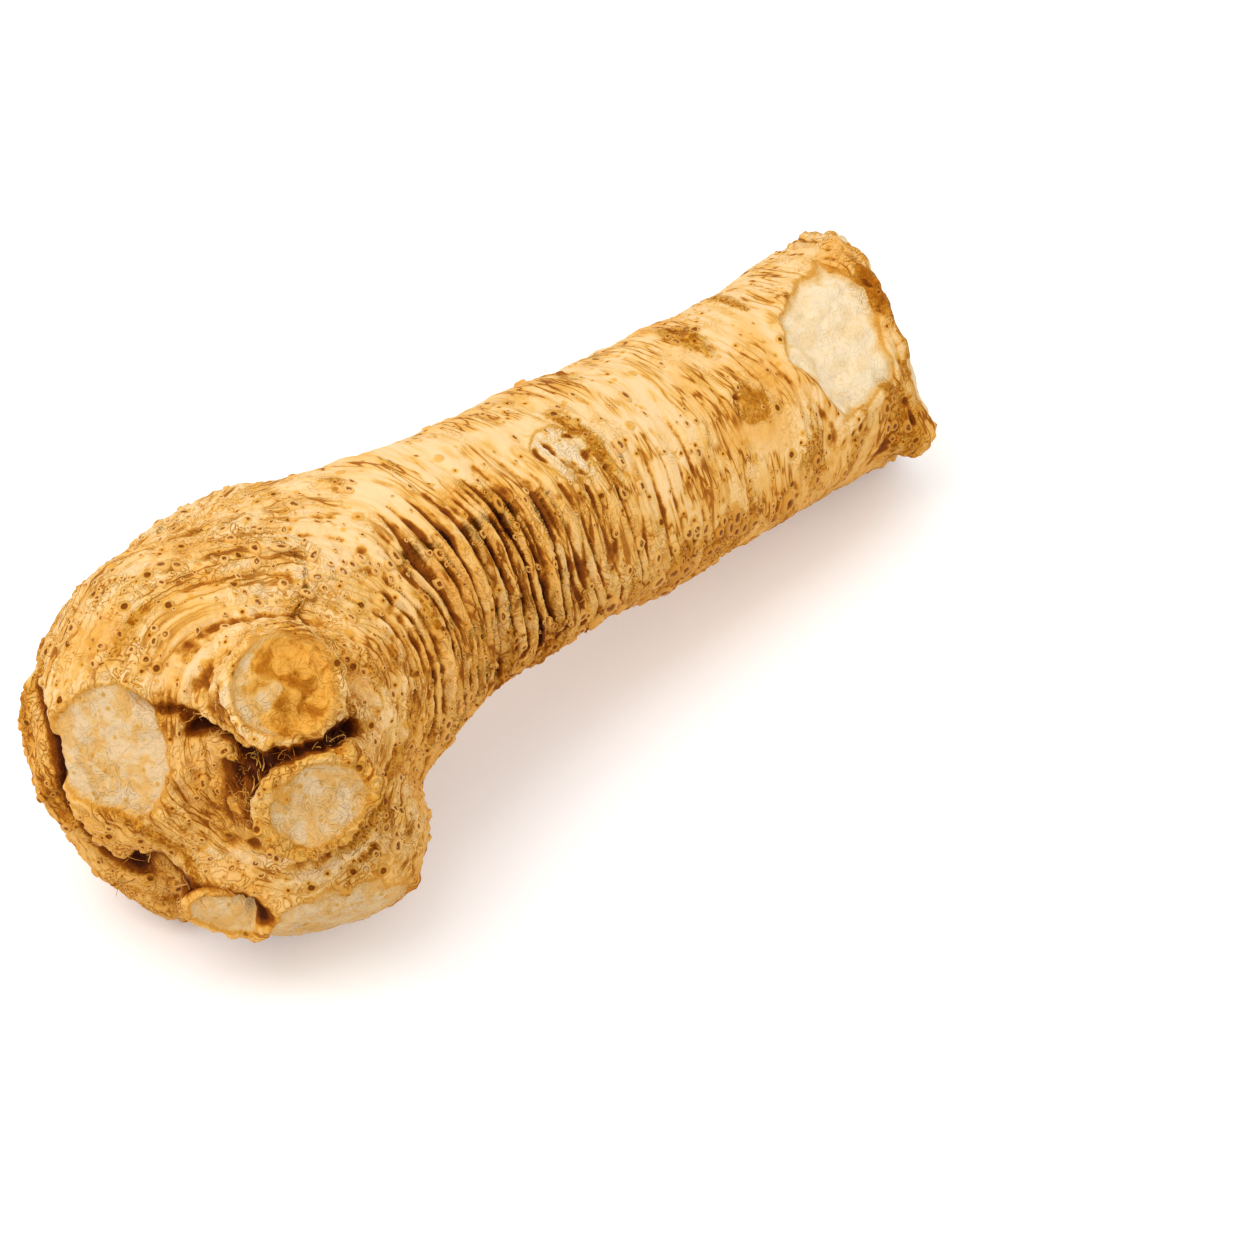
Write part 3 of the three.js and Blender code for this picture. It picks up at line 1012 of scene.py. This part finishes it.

# %% [markdown]
# ## Stains instead of paint
#
# Horseradish has a thin, corky bark: cream where it was washed clean, tan and golden where it is thicker,
# and nearly black down in the creases, partly from soil and dead skin and partly as painted shade. These
# colours lie over one another like stains, and each lets back a share of the light that the ones below it
# left. Paint colours could be mixed instead, but halfway between cream and brown they turn grey. So a
# colour is kept as a density, minus the logarithm of its light. Densities mix, and one last step turns the
# mix back into a colour.

# %% Colours


def linear(hex_colour):
    """An sRGB colour such as F0D8A0 as the linear light values that Blender works in."""
    parts = np.array([int(hex_colour[k : k + 2], 16) for k in (0, 2, 4)]) / 255
    light = np.where(parts <= 0.04045, parts / 12.92, ((parts + 0.055) / 1.055) ** 2.4)
    return (*light.tolist(), 1.0)


def stain(hex_colour, darkest=0.002):
    """A stain's density for red, green and blue: minus the logarithm of the light that it lets back."""
    light = np.maximum(linear(hex_colour)[:3], darkest)
    return (*(-np.log(light)).tolist(), 1.0)


CREAM = stain("EEC994")  # washed bark
TAN = stain("E8B060")  # thicker bark
UNDERSIDE_SHADE_GOLD = stain("E6AC55")  # painted warm shade on the side that faces down
HALO = stain("D58E2A")  # the golden edge of anything dark
OCHRE = stain("C67F1C")
RUST = stain("A35A08")
BROWN = stain("7C3C02")
# nearly black: soil and painted shade at the bottom of the hollows
DEEP_SOIL_AND_SHADE = stain("3F1700")
CORK = stain("BC7822")  # the bark's own cut edge
DIRTY_FLESH = stain("D9B98C")
FRESH_FLESH = stain("EDD6B0")
FLESH_YELLOW = stain("D6A35A")
GOLDEN = stain("E5A545")  # the flesh of a cut that has dried
GOLDEN_DARK = stain("A55E0E")
PALE_SCAR = stain("F2DABE")
print("cream's density for red, green and blue:", np.round(CREAM[:3], 2))

# %% One helper for nodes
# What a kind of node gets unless a line says otherwise: which inputs the plain values fill, in order,
# which output is handed back, and its settings.
USUAL = {
    "Attribute": ((), "Fac", {}),
    "MapRange": ((0, 1, 2, 3, 4), 0, {"interpolation_type": "SMOOTHSTEP"}),
    "Mix": ((0, 6, 7), 2, {"data_type": "RGBA"}),
}


def add(tree, kind, *values, out=None, **named):
    """Add a node, set it up, and give back one of its outputs.

    Plain values fill its inputs in order. A name with a capital is an input's, with _ for a space, and any
    other name is a setting's. An input is linked if it is given a socket, and filled if given a value.
    """
    node = tree.nodes.new("ShaderNode" + kind)
    order, usual_out, usual_settings = USUAL.get(kind, ((0, 1, 2), 0, {}))
    inputs = dict(zip(order, values))
    for name, value in {**usual_settings, **named}.items():
        if name[0].isupper():
            inputs[name.replace("_", " ")] = value
        else:
            setattr(node, name, value)
    for name, value in inputs.items():
        if isinstance(value, bpy.types.NodeSocket):
            tree.links.new(value, node.inputs[name])
        else:
            node.inputs[name].default_value = value
    return node.outputs[usual_out if out is None else out] if node.outputs else node


def new_material(name):
    """An empty node material, and the helper above bound to its tree."""
    material = bpy.data.materials.new(name)
    material.use_nodes = True
    material.node_tree.nodes.clear()
    return material, functools.partial(add, material.node_tree)


def light_left(on, density):
    """The colour that a density leaves: e to the power of minus the density, for red, green and blue."""
    parts = on("SeparateXYZ", density).node.outputs
    return on("CombineXYZ", *(on("Math", 1 / math.e, part, operation="POWER") for part in parts))


# %% [markdown]
# ## The ground of the bark
#
# Under everything lies a mottled ground: cream with tan patches about 13 mm wide, and thin ochre streaks
# that run with the wrinkles. The streaks could be painted on a UV map. Here they are noise in a space whose
# first axis is the growth number, 2.6 mm to a streak across it and 9 mm along, so they turn where the
# wrinkles turn.

# %% Patches and streaks


def bark_ground(on, here):
    """The object's place in millimetres and the bark's ground stain, shared by the skin and its warts."""
    place = on("Mapping", on("TexCoord", out="Object"), Scale=(1 / MM,) * 3)
    patches = on("MapRange", on("TexNoise", place, Scale=1 / 13, Detail=3.0), 0.42, 0.68)
    patches = on("Math", patches, here["washed"], operation="SUBTRACT", use_clamp=True)
    ground = on("Mix", patches, CREAM, TAN)
    cords_tan = on("MapRange", here["cords"], 0.3, 1.0, 0, 0.45, interpolation_type="LINEAR")
    ground = on("Mix", cords_tan, ground, TAN)
    streak_place = on("Mapping", here["growth"].node.outputs["Vector"], Scale=(1 / 2.6, 1 / 9, 1 / 9))
    streaks = on("MapRange", on("TexNoise", streak_place, Scale=1.0, Detail=3.0), 0.5, 0.8, 0, 0.3)
    ground = on("Mix", streaks, ground, OCHRE)
    # The side that faces down is tinted golden: painted warm shade.
    return place, on("Mix", on("Math", here["low"], 0.85, operation="MULTIPLY"), ground, UNDERSIDE_SHADE_GOLD)


skin_material, on_skin = new_material("corky bark")
here = {name: on_skin("Attribute", attribute_name=name) for name in numbers}
place, ground = bark_ground(on_skin, here)
print("the finish reads these numbers:", ", ".join(here))

# %% [markdown]
# ## Brown bands
#
# Where rootlets stood close together the bark thickened and browned in bands round the shaft. Up close a
# band is a crowd of rust-brown specks on a faint ochre tint, not a stripe. So the band's number only raises
# a noise, and specks appear where the sum passes an edge: few at the band's rim, many in its middle.

# %% Tint and specks
grain = on_skin("TexNoise", place, Scale=1 / 1.2, Detail=3.0, Roughness=0.65)
speck = on_skin("TexNoise", place, Scale=1 / 3.2, Detail=4.0, Roughness=0.7)
spots = on_skin("TexNoise", place, Scale=1 / 1.7, Detail=3.0, Roughness=0.6, Distortion=0.5)
tint = on_skin("Math", speck, 1.2, here["bands"], operation="MULTIPLY_ADD")
banded = on_skin("Mix", on_skin("MapRange", tint, 0.8, 1.5, 0, 0.45), ground, OCHRE)
specks = on_skin("Math", spots, 3.4, here["bands"], operation="MULTIPLY_ADD")
banded = on_skin("Mix", on_skin("MapRange", specks, 2.5, 2.95, 0, 0.8), banded, RUST)
brown_scar = on_skin("Math", here["brown_scar"], speck, operation="MULTIPLY")
brown_scar = on_skin("MapRange", brown_scar, 0.3, 0.6, 0, 0.8, interpolation_type="LINEAR")
banded = on_skin("Mix", brown_scar, banded, RUST)
print("nodes so far:", len(skin_material.node_tree.nodes))

# %% [markdown]
# ## Fine creases and curls
#
# Dry bark splits into creases finer than the mesh can hold, and between the shoots it peels into little
# curls. A noise passes its middle value along a thin line, and such lines never end abruptly, so they make
# good creases: straight ones in the growth's space, curly ones where the noise is distorted. Each line is
# the crease's dark bark with its painted shade, and has a wider golden halo: soil stains the bark beside a
# crease, and the halo paints its warm shade too.

# %% Lines where a noise passes its middle


def from_middle(value, middle=0.5):
    """How far a value lies from a middle, either way."""
    return on_skin("Math", on_skin("Math", value, middle, operation="SUBTRACT"), operation="ABSOLUTE")


def kept_in(zone, *shares):
    """Each share multiplied by a zone's number, so that it fades out with the zone."""
    return [on_skin("Math", share, zone, operation="MULTIPLY") for share in shares]


growth_here = here["growth"].node.outputs["Vector"]
crease_place = on_skin("Mapping", growth_here, Scale=(1 / 1.8, 1 / 11, 1 / 11))
crease = from_middle(on_skin("TexNoise", crease_place, Scale=1.0, Detail=2.0))
crease_pair = [on_skin("MapRange", crease, reach, 0.0) for reach in (0.045, 0.16)]
cord_place = on_skin("Mapping", growth_here, Scale=(1 / 1.5, 1 / 16, 1 / 16))
cord = on_skin("TexNoise", cord_place, Scale=1.0, Detail=3.0, Roughness=0.65)
cord_pair = [on_skin("MapRange", cord, *edges) for edges in ((0.42, 0.34), (0.52, 0.38))]
curl = from_middle(on_skin("TexNoise", place, Scale=1 / 2.2, Detail=1.0, Distortion=1.6))
curl_pair = [on_skin("MapRange", curl, reach, 0.0) for reach in (0.04, 0.15)]
curl_ridge = on_skin("MapRange", curl, 0.02, 0.12)

line, halo = kept_in(here["crease_zone"], *crease_pair)
for zone, pair in ((here["cords"], cord_pair), (here["curl_zone"], curl_pair)):
    new_line, new_halo = kept_in(zone, *pair)
    line = on_skin("Math", line, new_line, operation="MAXIMUM")
    halo = on_skin("Math", halo, new_halo, operation="MAXIMUM")
# The golden halo: soil stain and painted warm shade beside the creases.
haloed = on_skin("Mix", on_skin("Math", halo, 0.45, operation="MULTIPLY"), banded, HALO)
unwashed = on_skin("Math", here["washed"], -0.75, 1.0, operation="MULTIPLY_ADD")
skin_only = on_skin("MapRange", here["to_flesh"], -0.5, 0.5, interpolation_type="LINEAR")
for zone in (unwashed, skin_only):
    (line,) = kept_in(zone, line)
# The dark line: the crease's dark bark and its painted shade.
creased = on_skin("Mix", on_skin("Math", line, 0.7, operation="MULTIPLY"), haloed, BROWN)
print("nodes so far:", len(skin_material.node_tree.nodes))

# %% [markdown]
# ## Pores and the pale scar
#
# Bark breathes through pores: dark dots in low rings. They sit one to a cell of a Voronoi pattern, and a
# cell's random colour decides whether it gets one, more often in the bands. Cells 2.4 and 4.2 mm wide give
# two sizes. The scar healed over them, so it comes on top: paler skin, with a brown line round it.

# %% Pores in two sizes
pore_limit = on_skin("Math", here["pitted"], -0.5, 0.75, operation="MULTIPLY_ADD")


def pores(spacing, hole_reach, lip_reach):
    """One pore in each kept cell of a spacing in mm: the distance from it, its hole and its lip."""
    distance = on_skin("TexVoronoi", place, Scale=1 / spacing)
    random_colour = distance.node.outputs["Color"]
    kept = on_skin("Math", random_colour, pore_limit, operation="GREATER_THAN")
    (kept,) = kept_in(skin_only, kept)
    reaches = (hole_reach, lip_reach)
    return distance, *kept_in(kept, *(on_skin("MapRange", distance, *reach) for reach in reaches))


pore_distance, pore, pore_lip = pores(2.4, (0.17, 0.07), (0.36, 0.2))
_, pit, pit_lip = pores(4.2, (0.17, 0.08), (0.34, 0.2))
holes = on_skin("Math", pore, pit, operation="MAXIMUM")
lips = on_skin("Math", pore_lip, pit_lip, operation="MAXIMUM")
creased = on_skin("Mix", on_skin("Math", lips, 0.5, operation="MULTIPLY"), creased, HALO)
creased = on_skin("Mix", on_skin("Math", holes, 0.9, operation="MULTIPLY"), creased, BROWN)
print("nodes so far:", len(skin_material.node_tree.nodes))

# %% The pale scar
scar_share = on_skin("MapRange", here["pale_scar"], 0.1, 0.9, 0, 0.6, interpolation_type="LINEAR")
scar_line = on_skin("MapRange", from_middle(here["pale_scar"], 0.35), 0.3, 0.1, 0, 0.5)
creased = on_skin("Mix", scar_share, creased, PALE_SCAR)
creased = on_skin("Mix", kept_in(speck, scar_line)[0], creased, RUST)
print("nodes so far:", len(skin_material.node_tree.nodes))

# %% [markdown]
# ## Soil and painted shade in the hollows
#
# Washing leaves soil wherever a brush can't reach, and shade falls in the same places. The mesh already
# knows how deep each point lies below its surroundings, so that number, made ragged by the speck noise,
# paints the soil and the shade together: first a golden rim, then brown, then nearly black at the bottom.
# Blender's Ambient Occlusion node finds hollows too, but every render would have to work them out again.

# %% Gold, brown and black
hollow_edge = on_skin("Math", speck, 0.7, here["hollow"], operation="MULTIPLY_ADD")
soiled_and_shaded = creased
# Golden, brown and nearly black by how deep a point lies: soil and painted shade together.
SOIL_AND_SHADE = ((HALO, 0.4, 0.75, 0.7), (BROWN, 0.52, 0.85, 0.9), (DEEP_SOIL_AND_SHADE, 0.9, 1.4, 0.9))  # stain, from, to, share
for stain_here, start, end, share in SOIL_AND_SHADE:
    soiled_and_shaded = on_skin("Mix", on_skin("MapRange", hollow_edge, start, end, 0, share), soiled_and_shaded, stain_here)
print(len(SOIL_AND_SHADE), "stains of soil in the hollows")

# %% [markdown]
# ## Flesh where the knife went
#
# Cut horseradish is firm and cream white, and yellows as it dries. The trimmed shoots dried for a while:
# their flesh is mottled, flecked and yellow at the rim, and one has a golden core. The peeled patch is
# fresh. A second material on the cut faces would change from one triangle to the next. So the flesh is one
# more layer of this one, shown where the distance to the flesh's edge is below 0, with a ragged line of
# cork between it and the bark.

# %% Dry flesh, fresh flesh and the golden core
mottle = on_skin("TexNoise", place, Scale=1 / 3.2, Detail=4.0, Distortion=0.6)
dried = on_skin("Math", here["fresh"], -0.8, 1.0, operation="MULTIPLY_ADD")
yellow, fleck = kept_in(
    dried,
    on_skin("MapRange", mottle, 0.42, 0.66, 0, 0.9),
    on_skin("MapRange", pore_distance, 0.24, 0.1, 0, 0.3, interpolation_type="LINEAR"),
)
ring = on_skin("Math", here["ring"], 0.5, operation="MULTIPLY")
rim = on_skin("Math", speck, 3.0, here["to_flesh"], operation="MULTIPLY_ADD")
rim = on_skin("MapRange", rim, 0.0, 1.6, 0, 0.6)
flesh = on_skin("Mix", here["fresh"], DIRTY_FLESH, FRESH_FLESH)
for share, stain_here in ((yellow, FLESH_YELLOW), (fleck, RUST), (ring, FLESH_YELLOW), (rim, FLESH_YELLOW)):
    flesh = on_skin("Mix", share, flesh, stain_here)
golden = on_skin("Mix", on_skin("MapRange", mottle, 0.42, 0.66, 0, 0.8), GOLDEN, GOLDEN_DARK)
flesh = on_skin("Mix", on_skin("MapRange", here["to_golden"], 0.5, -0.5), flesh, golden)

# %% The ragged edge between bark and flesh
flesh_edge = on_skin("Math", grain, 0.9, here["to_flesh"], operation="MULTIPLY_ADD")
edged = on_skin("Mix", on_skin("MapRange", flesh_edge, 1.25, 0.75, 0, 0.45), soiled_and_shaded, CORK)
surface = on_skin("Mix", on_skin("MapRange", flesh_edge, 0.5, 0.2), edged, flesh)
print("nodes so far:", len(skin_material.node_tree.nodes))

# %% [markdown]
# ## Bumps finer than the mesh
#
# The mesh holds everything wider than about a millimetre. What is finer goes into a Bump node, as heights
# in millimetres: pits with lips, an even grain, and a coarse crumble that is strongest on rough bark. A
# denser mesh could hold these too, but it would need many times the triangles.

# %% Heights, gloss and the shader
# Dry cork is full of air and scatters light, so it is matt and almost without gloss.
CORK_ROUGHNESS = (0.45, 0.65)
CORK_GLOSS = 0.07
PLANT_IOR = 1.4

height = on_skin("Math", pit, -0.5, operation="MULTIPLY")
height = on_skin("Math", pit_lip, 0.25, height, operation="MULTIPLY_ADD")
height = on_skin("Math", grain, 0.2, height, operation="MULTIPLY_ADD")
crumble = on_skin("Math", speck, 0.95, operation="MULTIPLY")
crumble = on_skin("Math", curl_ridge, 0.18, crumble, operation="MULTIPLY_ADD")
on_flesh = on_skin("Math", 1.0, skin_only, operation="SUBTRACT")
crumble_share = on_skin("Math", on_flesh, 0.4, operation="MULTIPLY")
for least in (here["rough"], 0.15):
    crumble_share = on_skin("Math", crumble_share, least, operation="MAXIMUM")
height = on_skin("Math", crumble, crumble_share, height, operation="MULTIPLY_ADD")
shader = on_skin(
    "BsdfPrincipled",
    Base_Color=light_left(on_skin, surface),
    Roughness=on_skin("MapRange", grain, 0.3, 0.7, *CORK_ROUGHNESS, interpolation_type="LINEAR"),
    Normal=on_skin("Bump", Height=height, Distance=MM, Strength=1.0),
    IOR=PLANT_IOR,
    Specular_IOR_Level=CORK_GLOSS,
)
on_skin("OutputMaterial", Surface=shader)
for piece in (root_crown, root_shaft):
    piece.data.materials.append(skin_material)
print("the bark's finish has", len(skin_material.node_tree.nodes), "nodes")

# %% [markdown]
# ## The finish of warts and hairs
#
# A wart is bark, so it reads the same ground, and a number that runs from 1 at its foot to 0 in its pit
# tells where its lip ends. Its lip was rubbed smooth in washing and shines a little more than the bark
# around it. A dead rootlet is a dry brown fibre, paler where its skin has gone.

# %% Rootlet scars
SCAR_GLOSS = 0.3
wart_material, on_wart = new_material("rootlet scar")
wart_here = {name: on_wart("Attribute", attribute_name=name) for name in ("profile", *WART_NUMBERS)}
wart_place, lip_colour = bark_ground(on_wart, wart_here)
browner = on_wart("Math", wart_here["bands"], 0.5, 0.25, operation="MULTIPLY_ADD")
wart_colour = on_wart("Mix", browner, lip_colour, OCHRE)
for start, end, share in ((0.42, 0.2, 0.8), (0.75, 0.95, 0.25)):  # the pit, then the foot
    shown = on_wart("MapRange", wart_here["profile"], start, end, 0, share)
    wart_colour = on_wart("Mix", shown, wart_colour, BROWN)
wart_grain = on_wart("TexNoise", wart_place, Scale=1 / 1.1, Detail=3.0)
wart_shader = on_wart(
    "BsdfPrincipled",
    Base_Color=light_left(on_wart, wart_colour),
    Roughness=0.45,
    Normal=on_wart("Bump", Height=wart_grain, Distance=0.3 * MM),
    IOR=PLANT_IOR,
    Specular_IOR_Level=SCAR_GLOSS,
)
on_wart("OutputMaterial", Surface=wart_shader)
warts.data.materials.append(wart_material)
print("the rootlet scar's finish has", len(wart_material.node_tree.nodes), "nodes")

# %% Dried rootlets
hair_material, on_hair = new_material("dried rootlet")
hair_place = on_hair("Mapping", on_hair("TexCoord", out="Object"), Scale=(1 / MM,) * 3)
hair_noise = on_hair("TexNoise", hair_place, Scale=1 / 6, Detail=2.0)
hair_share = on_hair("MapRange", hair_noise, 0.4, 0.6, interpolation_type="LINEAR")
hair_shader = on_hair(
    "BsdfPrincipled",
    Base_Color=light_left(on_hair, on_hair("Mix", hair_share, TAN, RUST)),
    Roughness=0.55,
    IOR=PLANT_IOR,
    Specular_IOR_Level=SCAR_GLOSS,
)
on_hair("OutputMaterial", Surface=hair_shader)
root_hairs.data.materials.append(hair_material)
print("materials:", [piece.data.materials[0].name for piece in (root_crown, root_shaft, warts, root_hairs)])

# %% [markdown]
# ## The stage
#
# A plain white table under plain white light shows a finish as it is. The light comes from everywhere, with
# one lamp high on the far side for shape. The table gets a faint glow that only the camera sees, so that it
# meets the white surroundings without a line and keeps the root's shadow. More light would do the same, but
# it would bleach the root.

# %% Table, light and camera
TABLE_GLOW = 0.2
LAMP_POWER = 2.9  # watts
LAMP_SIZE, LAMP_DISTANCE = 0.5, 0.9  # metres
LAMP_AZIMUTH, LAMP_ELEVATION = 172, 62  # degrees round from +X, and above the table
CAMERA_AZIMUTH, CAMERA_ELEVATION = -137, 40
CAMERA_DISTANCE = 0.71568  # metres
AIM = np.array([-0.0199, -0.0384, 0.0469])  # the point that the camera looks at
LONG_LENS = 120  # mm: from a step back, so that the near end doesn't swell

for helper in (form, melted):
    bpy.data.objects.remove(helper)

bpy.ops.mesh.primitive_plane_add(size=4)
floor = bpy.context.object
floor.name = "floor"
floor_material, on_floor = new_material("white paper")  # uncoated, so matt: it mirrors nothing
seen = on_floor("LightPath", out="Is Camera Ray")
floor_shader = on_floor(
    "BsdfPrincipled",
    Base_Color=linear("F4F3F2"),
    Roughness=0.9,
    Emission_Color=(1, 1, 1, 1),
    Emission_Strength=on_floor("Math", seen, TABLE_GLOW, operation="MULTIPLY"),
)
on_floor("OutputMaterial", Surface=floor_shader)
floor.data.materials.append(floor_material)

world = bpy.data.worlds.new("studio")
bpy.context.scene.world = world
world.use_nodes = True
world.node_tree.nodes["Background"].inputs["Color"].default_value = (1, 1, 1, 1)
world.node_tree.nodes["Background"].inputs["Strength"].default_value = 1.0


def placed(name, data, toward, aim, distance):
    """A lamp or a camera that stands a distance away from a point in a direction and looks at the point."""
    holder = bpy.data.objects.new(name, data)
    holder.location = aim + toward * distance
    holder.rotation_euler = mathutils.Vector(-toward).to_track_quat("-Z", "Y").to_euler()
    bpy.context.scene.collection.objects.link(holder)
    return holder


def direction(azimuth, elevation):
    """The way to a place so many degrees round from +X and so many above the table."""
    a, e = math.radians(azimuth), math.radians(elevation)
    return np.array([math.cos(a) * math.cos(e), math.sin(a) * math.cos(e), math.sin(e)])


light = bpy.data.lights.new("key", "AREA")
light.size = LAMP_SIZE
light.energy = LAMP_POWER
placed("key", light, direction(LAMP_AZIMUTH, LAMP_ELEVATION), np.zeros(3), LAMP_DISTANCE)

lens = bpy.data.cameras.new("camera")
lens.lens = LONG_LENS
lens.sensor_width = 36
lens.clip_start = 0.01
camera = placed("camera", lens, direction(CAMERA_AZIMUTH, CAMERA_ELEVATION), AIM, CAMERA_DISTANCE)
bpy.context.scene.camera = camera
bpy.context.scene.view_settings.view_transform = "Standard"
print("the camera stands at", (np.array(camera.location) / MM).round(0), "mm")
